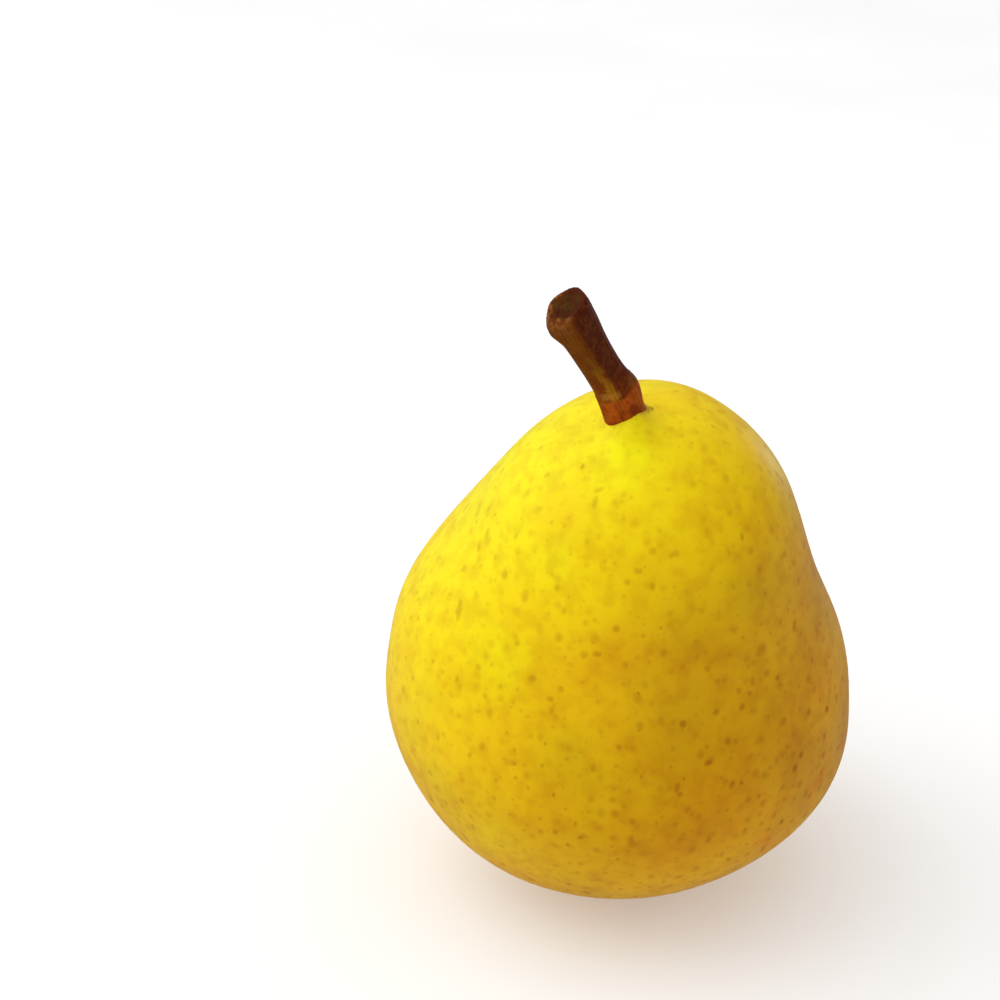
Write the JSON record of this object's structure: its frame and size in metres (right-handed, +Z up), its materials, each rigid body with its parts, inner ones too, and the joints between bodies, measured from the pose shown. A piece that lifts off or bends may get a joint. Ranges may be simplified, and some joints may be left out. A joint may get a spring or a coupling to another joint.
{
  "type": "pear",
  "caption": "Ripe yellow pear with its woody stem and dried calyx, leaning a little on a small flat resting spot.",
  "frame": {"origin": "middle of the small flat spot that the pear rests on", "axes": "+Z up; the pear leans towards -Y, its front, and its stem leans to -X, its left"},
  "size_m": [0.0701, 0.0689, 0.0985],
  "materials": {
    "skin": "waxy lemon-yellow fruit skin with small brown pores and a soft sheen",
    "bark": "smooth red-brown to dark maroon bark, faintly ridged",
    "dry_sepal": "dull dark brown, dry and papery"
  },
  "bodies": {
    "root": {"fruit": "skin", "stem": "bark", "calyx": "dry_sepal"}
  },
  "joints": []
}
